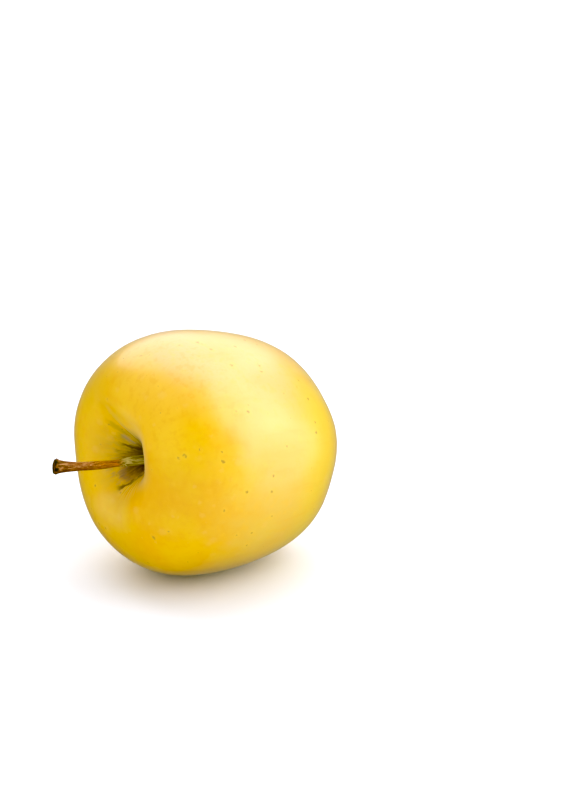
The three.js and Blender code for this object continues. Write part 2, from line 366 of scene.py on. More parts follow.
# %% A socket that can be used in sums
class Wire:
    """One output of a node, for use in Python expressions."""

    def __init__(self, finish, socket):
        self.finish, self.socket = finish, socket

    def maths(self, operation, first, second):
        terms = (first, second)
        is_vector = any(isinstance(t, Wire) and t.socket.type == "VECTOR" for t in terms)
        kind = "ShaderNodeVectorMath" if is_vector else "ShaderNodeMath"
        return self.finish.node(kind, {"operation": operation}, {0: first, 1: second})

    def __add__(self, other):
        return self.maths("ADD", self, other)

    def __sub__(self, other):
        return self.maths("SUBTRACT", self, other)

    def __rsub__(self, other):
        return self.maths("SUBTRACT", other, self)

    def __mul__(self, other):
        return self.maths("MULTIPLY", self, other)

    def __truediv__(self, other):
        return self.maths("DIVIDE", self, other)

    def __rtruediv__(self, other):
        return self.maths("DIVIDE", other, self)

    def __pow__(self, other):
        return self.maths("POWER", self, other)

    def __rpow__(self, other):
        return self.maths("POWER", other, self)

    __radd__ = __add__
    __rmul__ = __mul__


print("sockets can be used in sums")

# %% [markdown]
# ## A material that is painted in layers
#
# A second class holds the material and adds every other node. Colours could be mixed in
# one long sum, but a painter works in layers: each mask lays its colour over what is
# there already. Values that are the same all over go straight onto the shader.


# %% A finish and its layers of colour
def linear(red, green, blue):
    """A colour given as on a screen, 0 to 255, in the linear values that shaders use."""
    screen = np.array([red, green, blue]) / 255
    low, high = screen / 12.92, ((screen + 0.055) / 1.055) ** 2.4
    return (*np.where(screen < 0.04045, low, high).tolist(), 1)


class Finish:
    """A material, with the constants of its shader and the colour painted so far."""

    def __init__(self, name, **constants):
        self.material = bpy.data.materials.new(name)
        self.material.use_nodes = True
        self.tree = self.material.node_tree
        self.shader = self.tree.nodes["Principled BSDF"]
        self.colour = None
        for socket, value in constants.items():
            self.shader.inputs[socket.replace("_", " ")].default_value = value

    def node(self, kind, settings=None, sockets=None, out=0):
        """Adds a node, its settings first, then its sockets, and hands back one output."""
        made = self.tree.nodes.new(kind)
        for name, value in (settings or {}).items():
            setattr(made, name, value)
        for name, value in (sockets or {}).items():
            self.feed(made.inputs[name], value)
        return Wire(self, made.outputs[out])

    def feed(self, socket, value):
        """Links a wire to a socket, or sets the socket to a number or colour."""
        if isinstance(value, Wire):
            self.tree.links.new(value.socket, socket)
        elif socket.type == "VECTOR" and not hasattr(value, "__len__"):
            socket.default_value = (value,) * 3
        else:
            socket.default_value = value

    def mix(self, share, first, second):
        """The first colour where share is 0 and the second where it is 1."""
        sockets = {0: share, 6: first, 7: second}
        return self.node("ShaderNodeMix", {"data_type": "RGBA"}, sockets, out=2)

    def paint(self, share, colour):
        """Lays a colour over what is painted already, and hides it where share is 1."""
        self.colour = self.mix(share, self.colour, colour)

    def fade(self, value, start, end):
        """0 up to start, 1 from end on, and an S-curve between them, either way round."""
        settings = {"interpolation_type": "SMOOTHSTEP"}
        sockets = {"Value": value, "From Min": start, "From Max": end}
        return self.node("ShaderNodeMapRange", settings, sockets)

    def band(self, value, start, full, fading, end):
        """1 from full to fading, and 0 before start and after end."""
        return self.fade(value, start, full) * (1 - self.fade(value, fading, end))

    def noise(self, where, scale, detail=2, roughness=0.5):
        """Noise from 0 to 1. Its scale says about how many blobs fit into one unit of where."""
        sockets = {"Vector": where, "Scale": scale, "Detail": detail, "Roughness": roughness}
        return self.node("ShaderNodeTexNoise", None, sockets)

    def bump(self, height, strength, distance):
        """A normal that makes a height look raised, by this many metres."""
        sockets = {"Height": height, "Strength": strength, "Distance": distance}
        return self.node("ShaderNodeBump", None, sockets)

    def wear(self, piece, **varying):
        """Feeds what changes over the surface into the shader and puts it on a piece."""
        for socket, value in varying.items():
            self.feed(self.shader.inputs[socket.replace("_", " ")], value)
        piece.data.materials.clear()
        piece.data.materials.append(self.material)


print("a finish can be painted in layers")

# %% [markdown]
# ## Where on the apple a point is
#
# The skin's colours follow the fruit: green and brown gather in the cavity, and faint
# streaks run from stem to blossom. So a finish has to know how far a point lies along the
# axis and out from it. A painted map could say so, but three dot products with the
# apple's own directions say it exactly.


# %% The apple's own frame inside a finish
def own_frame(finish):
    """Millimetres towards the up side, the back side and the stem, as a vector and apart."""
    where = finish.node("ShaderNodeTexCoord", out="Object") * (1 / MM) - tuple(SHIFT)
    dot = {"operation": "DOT_PRODUCT"}
    ways = (UP_SIDE, BACK_SIDE, STEM_WAY)
    sides = [finish.node("ShaderNodeVectorMath", dot, {0: where, 1: way}, out=1) for way in ways]
    return finish.node("ShaderNodeCombineXYZ", None, dict(enumerate(sides))), sides


def distance_from(up, back_way, centre):
    """How far out a point lies from a line beside the axis."""
    return ((up - centre[0]) ** 2 + (back_way - centre[1]) ** 2) ** 0.5


def direction_round(finish, up, back_way, out):
    """A vector that only says in which direction round the axis a point lies."""
    return finish.node("ShaderNodeCombineXYZ", None, {0: up / out, 1: back_way / out})


print("the apple's up side points to", [round(c, 3) for c in UP_SIDE])

# %% [markdown]
# ## Finish of the skin
#
# Ripe yellow skin is waxy: a satin gloss over a warm, slightly see-through flesh, with a
# faint pale sheen at its rim. One flat yellow would look like plastic. So the ground
# drifts between gold and lemon, and each change of colour is a mask of its own that lays
# the next colour over the last. Millimetres along the axis count from the widest ring.

# %% Gold and lemon ground
wax = Finish(
    "waxy_skin",
    IOR=1.5,
    Coat_Roughness=0.3,
    Coat_IOR=1.6,
    Subsurface_Weight=0.12,
    Subsurface_Radius=(1, 0.55, 0.12),
    Subsurface_Scale=0.004,
    Sheen_Weight=0.3,
    Sheen_Roughness=0.3,
)
own, (up_way, back_way, along) = own_frame(wax)
out_from_axis = distance_from(up_way, back_way, (0, 0))
out_from_foot = distance_from(up_way, back_way, STEM_FOOT)
round_way = direction_round(wax, up_way, back_way, out_from_axis)

GOLD = linear(237, 177, 0)
LEMON = linear(239, 190, 4)
broad = wax.noise(own, 0.05, detail=3)
wax.colour = wax.mix(wax.fade(broad, 0.38, 0.62), GOLD, LEMON)
print("ground colour drifts from", np.round(GOLD[:3], 2), "to", np.round(LEMON[:3], 2))

# %% [markdown]
# ## Paler ground, painted highlights and painted light
#
# A fruit colours first on the side that hung in the sun. This one is gold round the stem
# and pales towards the blossom, and its upper side is pale as well. Both pale zones also
# stand for the lamps' soft gleam, so they are partly painted highlight. A whiter pale on
# the top rim and the upper blossom end is painted highlight alone. A plain fade along the
# axis would draw a ring round the fruit. So a noise is added to the place along the axis
# first, and the edge between gold and pale turns ragged. The upper shoulder towards us is
# painted brighter as painted light. A band near the blossom end is lemon, with a painted
# reflection of the floor in it, and the far shoulder is deeper. At the blossom tip a deeper
# yellow is painted shade against the lamps' glare.

# %% Pale blossom half and pale top with painted highlight, painted shade at the tip
EDGE_SPREAD = 26  # how far the ragged edge strays along the axis, in millimetres
blotches = wax.noise(own, 0.11, detail=4, roughness=0.6)
# Pale blossom half: partly paler skin, partly a painted highlight of the lamps' gleam.
pale_end_and_highlight = wax.fade(along + (blotches - 0.5) * EDGE_SPREAD, 18, -10)
low_half = wax.fade(up_way, 0, -12)
wax.paint(pale_end_and_highlight * (0.8 - low_half * 0.14), linear(232, 197, 90))
# Painted shade: a deeper yellow at the blossom tip tones down the glare where two lamps overlap.
shaded_far_end = wax.fade(along, -22, -36)
wax.paint(shaded_far_end * 0.6, linear(222, 180, 50))
# Pale top: partly paler skin, partly a painted highlight of the gleam from above.
pale_top_and_highlight = wax.fade(up_way, 16, 33)
wax.paint(pale_top_and_highlight * 0.55, linear(233, 189, 105))
# Painted highlight: a whiter pale along the upper rim of the stem half.
crown_highlight = wax.fade(up_way, 25, 34) * wax.fade(along, -2, 10)
wax.paint(crown_highlight * 0.3, linear(236, 198, 160))
print("pale end, far end, top and crown bring the skin to", len(wax.tree.nodes), "nodes")

# %% Painted light on the near shoulder, lemon flank with painted reflection, deeper back
# Painted light: the upper shoulder towards us is painted brighter.
painted_light_shoulder = wax.fade(along, 17, 23) * wax.fade(up_way, 2, 12)
painted_light_shoulder = painted_light_shoulder * wax.fade(back_way, 4, -6)
wax.paint(painted_light_shoulder * 0.5, linear(250, 202, 34))
# Painted highlight: a whiter pale on the upper blossom half towards us.
upper_end_highlight = pale_end_and_highlight * pale_top_and_highlight * wax.fade(back_way, -4, -20)
wax.paint(upper_end_highlight * 0.4, linear(240, 208, 150))
# A lemon band on the near blossom flank: partly lemon skin, partly a painted reflection of the
# floor.
lemon_flank_and_reflection = wax.band(along, -39, -32, -28, -15) * wax.fade(back_way, -8, -20)
wax.paint(lemon_flank_and_reflection * 0.6, linear(238, 204, 40))
deeper_back = wax.fade(back_way, -8, 14) * wax.fade(along, 2, 24)
wax.paint(deeper_back * 0.8, linear(236, 190, 2))
print("shoulder, flank and back bring it to", len(wax.tree.nodes), "nodes")

# %% [markdown]
# ## Mottling and streaks
#
# Close up, the skin is mottled in flecks of a few millimetres, strongest where it is
# gold, and faint streaks run from stem to blossom. Streaks could be a noise stretched
# along one axis, but they have to fan out from the stem. So that noise reads the
# direction round the axis, and hardly the place along it.

# %% Flecks and lengthwise streaks
mottle = wax.noise(own, 0.42, detail=4, roughness=0.6)
golden = 1 - pale_end_and_highlight * 0.9
wax.paint(wax.fade(mottle, 0.5, 0.66) * 0.25, linear(243, 190, 34))
wax.paint(wax.fade(mottle, 0.5, 0.34) * golden * 0.35, linear(233, 168, 0))
streak_where = round_way * 7 + own * (0.02, 0.02, 0.03)
streaks = wax.noise(streak_where, 1.6, detail=3, roughness=0.6)
wax.paint(wax.fade(streaks, 0.5, 0.8) * 0.25, linear(234, 170, 2))
print("flecks and streaks bring it to", len(wax.tree.nodes), "nodes")

# %% [markdown]
# ## Corky dots
#
# An apple breathes through small pores that turn corky. Scattering little discs would be
# heavy. A Voronoi texture gives the distance to scattered points in space: only those
# that happen to lie near the skin show. Each cell's random colour also sets the size of
# its dot, and a little noise in the place makes the dots uneven.

# %% Pores: brown dots with pale rims, and faint pale ones
BROWN_SPACING, PALE_SPACING = 4.6, 5
DOT, RIM, PALE_DOT = 0.64, 1.7, 1.6  # the usual radius of each kind
SMALLEST, SIZE_RANGE = 0.35, 0.9  # the smallest share of that radius, and what chance adds
PALE_OFFSET = (31, 17, 5)  # so that pale dots stand elsewhere than brown ones


def spots(finish, where, spacing, radius):
    """1 inside scattered soft round spots of many sizes, 0 outside, in millimetres."""
    sockets = {"Vector": where, "Scale": 1 / spacing}
    cells = finish.node("ShaderNodeTexVoronoi", None, sockets, out="Distance")
    chance = finish.node("ShaderNodeTexVoronoi", None, sockets, out="Color")
    chance = finish.node("ShaderNodeSeparateColor", None, {0: chance})
    size = (chance * SIZE_RANGE + SMALLEST) * radius
    return 1 - finish.fade(cells * spacing, size * 0.3, size)


wavering = own + (wax.noise(own, 1.1, detail=2) - 0.5) * 1.3
brown_dots = spots(wax, wavering, BROWN_SPACING, DOT)
dot_rims = spots(wax, wavering, BROWN_SPACING, RIM)
pale_dots = spots(wax, wavering + PALE_OFFSET, PALE_SPACING, PALE_DOT)
wax.paint(pale_dots * 0.16, linear(248, 202, 116))
wax.paint(dot_rims * 0.22, linear(250, 206, 60))
wax.paint(brown_dots * 0.6, linear(150, 104, 34))
print("brown dots are at most", round(2 * DOT * (SMALLEST + SIZE_RANGE), 2), "mm wide")

# %% [markdown]
# ## Creases and the stem's painted shadow in the cavity
#
# Creases run down the cavity's wall, and a patch of bloom lies on it. Just behind the
# stem, its shadow on the wall is painted. The creases could be cut into the mesh, but their
# dark is partly russet and partly painted shade in the crease, and a mask can darken and
# sink them at once. So each is a line between two places, seen along the axis, and a
# noise bends the place that it is measured from.


# %% Lines down the wall of the cavity
def from_foot(distance, angle):
    """A place in the cavity, seen along the axis: how far out, and at what angle."""
    return STEM_FOOT[0] + distance * wave(angle, 0), STEM_FOOT[1] + distance * wave(angle, 90)


def crease(finish, up, back_way, start, end, width):
    """1 along a line between two places in the cavity, 0 away from it."""
    length = math.dist(start, end)
    ahead = ((end[0] - start[0]) / length, (end[1] - start[1]) / length)
    run = (up - start[0]) * ahead[0] + (back_way - start[1]) * ahead[1]
    aside = (back_way - start[1]) * ahead[0] - (up - start[0]) * ahead[1]
    near = 1 - finish.fade(aside * aside, 0, width * width)
    return near * finish.band(run, -1.5, 0.5, length - 0.5, length + 1.5)


wander = wax.noise(own, 0.55, detail=2)
bent = (up_way + (wander - 0.5) * 2.4, back_way + (wander - 0.5) * 1.8)
low_crease = crease(wax, *bent, from_foot(9, 168), from_foot(4.6, 212), 0.75)
upper_furrow = crease(wax, *bent, from_foot(12.5, 36), from_foot(6, 12), 1.5)
side_crease = crease(wax, *bent, from_foot(7, 62), from_foot(3.4, 40), 0.6)
# Painted shadow of the stem on the wall behind it.
stem_shadow_line = crease(wax, *bent, (-0.9, 4), (-1.3, 7), 1.9)
upper_patch = crease(wax, *bent, (5.2, 4.7), (2.8, 3.7), 1.5)
print("three creases and two patches lie on the wall of the cavity")

# %% [markdown]
# ## Reach of the cork
#
# Thin brown cork spreads from the stem up the cavity's wall and ends in rays. A round
# patch would look stamped on. A noise that varies round the axis, and another that makes
# blotches, push its edge in and out. Low on the side towards us the wall stays cleaner.

# %% Masks of the cavity
rays = wax.noise(round_way * 5 + own * (0.25, 0.25, 0.12), 1.0, detail=5, roughness=0.6)
patches = wax.noise(own, 0.32, detail=3)
in_cavity = wax.fade(along, 4, 9)
clean_side = wax.fade(back_way, 2, -4) * wax.fade(up_way, -1, -5)
underside = wax.fade(up_way, -1.5, -5) * in_cavity
CLEAN_SETBACK = 5  # how much less far the cork reaches on the clean side
CORK_FULL, CORK_END = 3.4, 6.4  # how far out the cork is full, and where it has gone


def reach(start, end, raggedness):
    """1 at the stem's foot, 0 beyond a ragged edge, in millimetres from the foot."""
    edge = out_from_foot + clean_side * CLEAN_SETBACK - (rays + patches - 1) * raggedness
    return in_cavity * (1 - wax.fade(edge, start, end))


cork = reach(CORK_FULL, CORK_END, 6)
print("cork fades out from", CORK_FULL, "to", CORK_END, "mm from the stem's foot")

# %% [markdown]
# ## Painted lip highlight and green wall
#
# Where the shoulder rolls over into the cavity, a pale painted highlight lies along the
# near lip, and another on the low side round the cavity. The cavity ripens last, so behind
# the lip its wall is still green, and more olive brown below. Full rings of these colours
# would look turned on a lathe. So each also fades to one side.

# %% Painted lip highlight and ripening wall
lip_highlight = wax.band(out_from_axis, 11, 14, 14, 19) * wax.fade(back_way, 2, -8)
lip_highlight = lip_highlight * wax.fade(up_way, -12, 0)
low_lip_highlight = wax.band(out_from_axis, 10, 14, 17, 25) * wax.fade(back_way, -12, -4)
low_lip_highlight = low_lip_highlight * wax.fade(back_way, 12, 4) * wax.fade(up_way + back_way * 0.5, -8, -12)
# Painted highlight: a pale cream along the near lip and on the low side of the cavity.
wax.paint((lip_highlight + low_lip_highlight) * 0.24 * wax.fade(along, 18, 22), linear(237, 203, 122))

OLIVE_BROWN, OLIVE_GREEN = linear(156, 112, 62), linear(146, 132, 66)
ripening = wax.mix(wax.fade(up_way, -3, 2), OLIVE_BROWN, OLIVE_GREEN)
wax.paint(reach(5, 15, 9) * 0.42, linear(216, 180, 56))
wax.paint(reach(4, 10, 7) * 0.66, ripening)
wax.paint(upper_furrow * in_cavity * 0.3, linear(120, 108, 24))
print("lip and green wall bring it to", len(wax.tree.nodes), "nodes")

# %% [markdown]
# ## Cork, bloom, creases and painted shade
#
# The cork is lighter far out on the low side, and a dark red brown where it meets the
# stem; that dark is partly cork and partly painted shade deep in the cavity. Low on the
# cavity's wall a dark patch is painted shade, and behind the stem its shadow is painted.
# Patches of cork carry a greyish bloom, like dust. One mask with a ramp of colours would
# give them all the same edge. As layers each has its own, and the creases come last,
# since they are dark wherever they run.

# %% Layers of cork and painted shade
wax.paint(underside * reach(6, 9.5, 6) * 0.65, linear(166, 116, 92))
wax.paint(cork * 0.78, linear(114, 80, 76))
# Painted shadow of the stem on the cavity's wall.
shade = stem_shadow_line * in_cavity * (0.3 + wax.fade(rays, 0.38, 0.58))
wax.paint(shade * 0.5, linear(100, 66, 10))
# Painted shade on the lower wall of the cavity, under the lip.
wax.paint(underside * reach(4.4, 7.6, 5) * 0.6, linear(78, 22, 24))
bloom = wax.fade(patches, 0.5, 0.62) * reach(5.6, 8, 4)
wax.paint(bloom * 0.45, linear(158, 126, 96))
upper_bloom = upper_patch * in_cavity * wax.fade(rays, 0.4, 0.56)
wax.paint(upper_bloom * 0.45, linear(172, 150, 138))
# The darkest red brown at the stem's foot: partly cork, partly painted shade deep in the cavity.
wax.paint(reach(2.2, 5.2, 4) * 0.93, linear(66, 14, 20))
# Creases: partly russet, partly painted shade in the crease.
creases = in_cavity * (low_crease + side_crease)
wax.paint(creases * 0.8, linear(76, 26, 24))
print("cork, bloom and creases bring it to", len(wax.tree.nodes), "nodes")

# %% [markdown]
# ## Basin
#
# The basin at the blossom end ripens late too. A green zone runs out in rays, and a small
# brown one lies round the eye. Plain rings would look painted, so the noise that broke
# the cork's edge breaks the edges of both.

# %% Green and brown round the eye
in_basin = wax.fade(along, -34, -39)
green_reach = 1 - wax.fade(out_from_axis - (rays - 0.5) * 8, 3, 11)
wax.paint(in_basin * green_reach * 0.6, linear(176, 158, 40))
brown_reach = 1 - wax.fade(out_from_axis - (rays - 0.5) * 5, 1.5, 5)
wax.paint(in_basin * brown_reach * 0.8, linear(112, 82, 48))
print("the skin's colours take", len(wax.tree.nodes), "nodes")

# %% [markdown]
# ## Gloss of the skin
#
# The wax gives a broad soft gleam, not a mirror. One even roughness would look like
# lacquer. So it wanders a little, and cork is dull. A very fine pebbling from the cells
# under the wax breaks the gleam's edge, and pores, rays and creases get a little height.

# %% Gloss and fine pebbling
RELIEF_STRENGTH, RELIEF_DEPTH = 0.12, 0.0004
gloss_drift = wax.noise(own, 0.5, detail=4)
pebbles = wax.noise(own, 2.2, detail=2)
height = pebbles * 0.35 + brown_dots * 0.6 + rays * reach(6, 12, 6) * 0.8 - creases * 0.6
wax.wear(
    skin,
    Base_Color=wax.colour,
    Roughness=0.36 + gloss_drift * 0.1 + cork * 0.25 + brown_dots * 0.2,
    Coat_Weight=1 - cork * 0.9,
    Normal=wax.bump(height, RELIEF_STRENGTH, RELIEF_DEPTH),
)
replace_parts(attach(skin, "root"), "fruit")
print("skin is finished")

# %% [markdown]
# ## Stem
#
# The stem is a woody stalk: swollen and green where it leaves the fruit, thin above that,
# then evenly thick, and flared at the end where it let go of the branch. A bevelled curve
# would give a smooth pipe. Rings square to a bent centre line let us shape every one: the
# swelling, lengthwise ridges, and knobs at the corners of the broken end.

# %% Centre line and thickness of the stem
STEM_START = 12.4  # height of the stem's foot along the axis
STEM_LINE = [(*STEM_FOOT, STEM_START), (-1.1, 0, 21.6), (-3, 0.3, 28.6), (-3, 4.6, 43.8)]
# share of the length, then radius: swollen foot, waist, shaft and flared end
STATIONS = [(0, 1.45), (0.22, 1.42), (0.4, 1.02), (0.52, 1.27)]
STATIONS += [(0.75, 1.3), (0.9, 1.6), (0.97, 1.95), (1, 1.8)]
STEM_RINGS, STEM_SECTORS = 150, 48


def unit(vectors):
    """The same directions, each one unit long."""
    return vectors / np.linalg.norm(vectors, axis=-1, keepdims=True)


def even_line(points, count):
    """Evenly spaced points on a Bezier curve, its direction at each, and its length."""
    dense = np.concatenate([[points[0]], bezier(points, 400)])
    steps = np.linalg.norm(np.diff(dense, axis=0), axis=1)
    run = np.concatenate([[0], np.cumsum(steps)])
    at = np.linspace(0, run[-1], count)
    line = np.stack([np.interp(at, run, dense[:, k]) for k in range(3)], -1)
    return line, unit(np.gradient(line, axis=0)), run[-1]


stem_line, stem_ways, stem_length = even_line(STEM_LINE, STEM_RINGS)
print("the stem is", round(stem_length, 1), "mm long")

# %% [markdown]
# ## Shape of the stem's rings
#
# Each ring could be a circle, but wood is never that even. A small collar marks where the
# swollen foot ends, a bud scar sits just below it, three ridges run along, and the flared
# end has a knob at each of its three corners. A little noise roughens the bark.


# %% Radius of the stem
def station_radius(share):
    """The plain radius at a share of the stem's length."""
    return np.interp(share, *zip(*STATIONS))


def peak(share, at, width):
    """1 at one share of a length, 0 away from it."""
    return np.exp(-(((share - at) / width) ** 2))


def stem_radius(share, angle):
    """The radius at a share of the length and an angle, with all its small forms."""
    soft = station_radius(share - 0.02) + station_radius(share + 0.02)
    thick = (station_radius(share) + soft) / 3
    flare = smooth(share, 0.8, 1)
    ridges = 0.05 * wave(angle, 30, 3) + 0.02 * wave(angle, 10, 7)
    shape = 1 + ridges + 0.12 * flare * wave(angle, 0, 2)
    collar = 0.22 * peak(share, 0.335, 0.012) * (0.6 + 0.4 * wave(angle, 200))
    bud_scar = 0.3 * peak(share, 0.29, 0.02) * groove(angle, 250, 30)
    knobs = groove(angle, 8, 30) + 0.8 * groove(angle, 176, 28) + 0.5 * groove(angle, 290, 24)
    return thick * shape + collar + bud_scar + 0.42 * knobs * peak(share, 0.978, 0.016)


thickest = stem_radius(np.linspace(0, 1, 101)[:, None], np.arange(360)[None, :]).max()
print("the stem is at most", round(2 * thickest, 1), "mm thick")

# %% Rings of the stem
BARK_ROUGHNESS = 0.07
SCAR_RINGS = [(0.6, -0.3), (1.25, -0.1), (1.55, 0.12)]  # radius, and height above the end
SCAR_DEPTH = 0.35


def bark_noise(shares, ways):
    """Noise on the bark that is stretched along the stem."""
    return np.array(
        [
            [noise.noise(Vector(way) * 2.2 + Vector((0, 0, share * 3.1))) for way in ring]
            for share, ring in zip(shares, ways)
        ]
    )


def stem_rings():
    """The rings from foot to end, and the direction from the middle to each point."""
    share = np.linspace(0, 1, STEM_RINGS)[:, None]
    angle = np.arange(STEM_SECTORS)[None, :] * 360 / STEM_SECTORS
    back_side = unit(np.cross(stem_ways, (1, 0, 0)))
    up_side = np.cross(back_side, stem_ways)
    ways = wave(angle, 0)[..., None] * up_side[:, None]
    ways = ways + wave(angle, 90)[..., None] * back_side[:, None]
    radius = stem_radius(share, angle) + BARK_ROUGHNESS * bark_noise(share[:, 0], ways)
    return stem_line[:, None] + ways * radius[..., None], ways


rings, ring_ways = stem_rings()
tip, tip_way = stem_line[-1], stem_ways[-1]
scar = [tip + ring_ways[-1] * radius + tip_way * height for radius, height in SCAR_RINGS]
all_rings = np.concatenate([np.array(scar), rings[::-1]])
scar_middle = tip - tip_way * SCAR_DEPTH
stem = ringed_mesh("stalk", placed(all_rings), placed(scar_middle), placed(stem_line[0]))
print("stalk:", len(stem.data.polygons), "faces")

# %% [markdown]
# ## Finish of the stem
#
# Young wood with bark as thin as paper: copper brown with lighter and darker fibres that
# run lengthwise, redder in its outer half, green at the foot, nearly black at the scar.
# Pale fibres in the outer half also carry a painted highlight, and the low side is
# darkened with painted shade. Noise squeezed across the stem and stretched along it makes
# fibres, and the height along the axis picks the zone.

# %% Fibres, redder outer half, pale fibres with painted highlight, painted shade below
LINE_SLOPE = 0.054  # how much the stem's middle sinks for each millimetre along the axis
bark = Finish("thin_bark", IOR=1.45, Coat_Roughness=0.35)
own, (up_way, back_way, along) = own_frame(bark)
fibre = bark.noise(own * (2.6, 2.6, 0.16), 1.0, detail=4, roughness=0.6)
fine_fibre = bark.noise(own * (7, 7, 0.5), 1.0, detail=3)
bark.colour = bark.mix(bark.fade(fibre, 0.4, 0.6), linear(104, 48, 14), linear(196, 122, 52))
outer_half = bark.fade(along + fibre * 3, 31, 37)
bark.paint(outer_half * 0.7, linear(118, 42, 18))
bark.paint(bark.fade(fine_fibre, 0.5, 0.7) * 0.65, linear(228, 168, 92))
# Pale fibres of the outer half: partly pale bark, partly a painted highlight.
pale_fibres_and_highlights = outer_half * bark.fade(fibre, 0.55, 0.66)
bark.paint(pale_fibres_and_highlights * 0.45, linear(238, 184, 130))
# Painted shade: the stem's low side, below its middle line, is darkened.
above_middle = up_way - STEM_FOOT[0] + (along - STEM_START) * LINE_SLOPE
shaded_low_side = 1 - bark.fade(above_middle, -1.5, 0.3)
bark.paint(shaded_low_side * 0.7, linear(92, 26, 8))
print("bark mixed from", len(bark.tree.nodes), "nodes")

# %% Green foot and burnt end
foot = 1 - bark.fade(along + fibre * 4, 24, 27)
DARK_FOOT, PALE_FOOT = linear(122, 106, 50), linear(216, 206, 138)
bark.paint(foot * 0.95, bark.mix(bark.fade(fibre, 0.38, 0.6), DARK_FOOT, PALE_FOOT))
flare = bark.fade(along + fibre * 2, 40, 43)
bark.paint(flare * bark.fade(fibre, 0.6, 0.45) * 0.7, linear(70, 28, 10))
scorch = bark.noise(own, 0.7, detail=2)
burnt = bark.fade(along + fibre * 0.8, 43.4, 44.1) * bark.fade(scorch, 0.42, 0.5)
bark.paint(burnt, linear(24, 12, 8))
bark.wear(
    stem,
    Base_Color=bark.colour,
    Roughness=0.42 + fibre * 0.2 + burnt * 0.2,
    Coat_Weight=0.2 - burnt * 0.2,
    Normal=bark.bump(fibre * 0.6 + fine_fibre * 0.4, 0.5, 0.0003),
)
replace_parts(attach(stem, "root"), "stem")
print("stem finish has", len(bark.tree.nodes), "nodes")

# %% [markdown]
# ## Sepals
#
# The five leaflets that once wrapped the flower stay in the basin as dry brown blades.
# They close over the eye and then curl out. A flat leaf with thickness would look cut
# from card, so each blade is hollowed along its middle, crinkled, and turned at its tip.

# %% Where the blades start
SEPALS = 5
FIRST_SEPAL = RIBS_AT + 180 / SEPALS  # halfway between two of the fruit's ribs
SEPAL_RING, SEPAL_HALF_WIDTH, SOLID_THICKNESS = 3, 1.5, 0.55
SEPAL_GAP = 0.25


def basin_skin(radius, angle):
    """How far along the axis the basin's skin lies at one distance and angle."""
    curve = bezier(fruit_curves()["basin"], 200)
    last = curve[curve[:, 0] >= radius][-1]
    return skin_points(last[:1], last[1:], np.array([angle]))[0, 2]


def sepal_start(angle):
    """The height along the axis where a blade stands just clear of the basin's skin."""
    outer = SEPAL_RING + SOLID_THICKNESS / 2
    corner = math.hypot(outer, SEPAL_HALF_WIDTH)
    aside = math.degrees(math.atan2(SEPAL_HALF_WIDTH, outer))
    return min(basin_skin(corner, angle + turn) for turn in (-aside, 0, aside)) - SEPAL_GAP


print("the first blade starts at", round(sepal_start(FIRST_SEPAL), 1), "mm along the axis")

# %% Blades of the sepals
SEPAL_LENGTH, SEPAL_STEPS, SEPAL_SECTORS = 6.2, 26, 24
BLADE_THICKNESS = 0.24


def sepal_line(index, outward, start):
    """The curled middle line of a blade that starts at this height along the axis."""
    tip_out = 2.4 + 0.3 * math.sin(index * 2.4)
    curl = [(SEPAL_RING, 0), (2.7, 0.4), (0.75, 0.55), (tip_out, 0.85)]
    points = [outward * out + (0, 0, start - SEPAL_LENGTH * share) for out, share in curl]
    return even_line(points, SEPAL_STEPS)


def sepal_mesh(index):
    """One blade, between two of the fruit's ribs."""
    angle = 360 / SEPALS * index + FIRST_SEPAL
    outward = np.array([wave(angle, 0), wave(angle, 90), 0])
    across = np.array([-outward[1], outward[0], 0])
    line, ways, _ = sepal_line(index, outward, sepal_start(angle))
    share = np.linspace(0, 1, SEPAL_STEPS)[:, None]
    turn = np.arange(SEPAL_SECTORS)[None, :] * 360 / SEPAL_SECTORS
    face = unit(np.cross(across, ways))
    width = SEPAL_HALF_WIDTH * (1 - share**1.6 * 0.94)
    thickness = BLADE_THICKNESS * (1 - share * 0.55)
    side = wave(turn, 0)
    crinkle = 0.16 * np.sin(side * 4 + share * 9 + index) * share
    hollow = -0.5 * width * side**2 * (1 - 0.4 * share)
    lift = thickness * wave(turn, 90) * (1 + 0.5 * (1 - side**2)) + hollow + crinkle + 0.25 * width
    rings = line[:, None] + across * (width * side)[..., None] + face[:, None] * lift[..., None]
    ends = rings[0].mean(0), rings[-1].mean(0)
    return ringed_mesh(f"sepal_blade_{index + 1}", placed(rings), *placed(ends))


sepals = [sepal_mesh(index) for index in range(SEPALS)]
print("five blades of", len(sepals[0].data.polygons), "faces each")

# %% [markdown]
# ## Finish of the dry flower parts
#
# Dead leaf tissue: grey brown, darker at the tips, with a felt of tiny pale hairs and
# veins that run lengthwise. The hairs themselves would be far too small to model, so a
# fine noise in colour and height stands for them, and a strong roughness keeps it dull.

# %% Felted brown finish
dry = Finish("dry_felt", IOR=1.4, Sheen_Weight=0.25, Sheen_Roughness=0.5)
own, (up_way, back_way, along) = own_frame(dry)
veins = dry.noise(own * (3.2, 3.2, 0.7), 1.0, detail=3)
felt = dry.noise(own, 9, detail=3, roughness=0.7)
dry.colour = dry.mix(dry.fade(veins, 0.35, 0.65), linear(62, 44, 28), linear(122, 96, 62))
dry.paint(dry.fade(felt, 0.52, 0.7) * 0.5, linear(164, 142, 108))
tips = 1 - dry.fade(along, -45.5, -42)
dry.paint(tips * 0.6, linear(44, 30, 20))
dry_roughness = 0.75 + felt * 0.2
dry_normal = dry.bump(felt * 0.5 + veins * 0.5, 0.6, 0.0003)
for sepal in sepals:
    dry.wear(sepal, Base_Color=dry.colour, Roughness=dry_roughness, Normal=dry_normal)
    node = sepal.name.replace("_blade", "")
    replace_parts(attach(sepal, "root"), node)
print("sepals are finished")

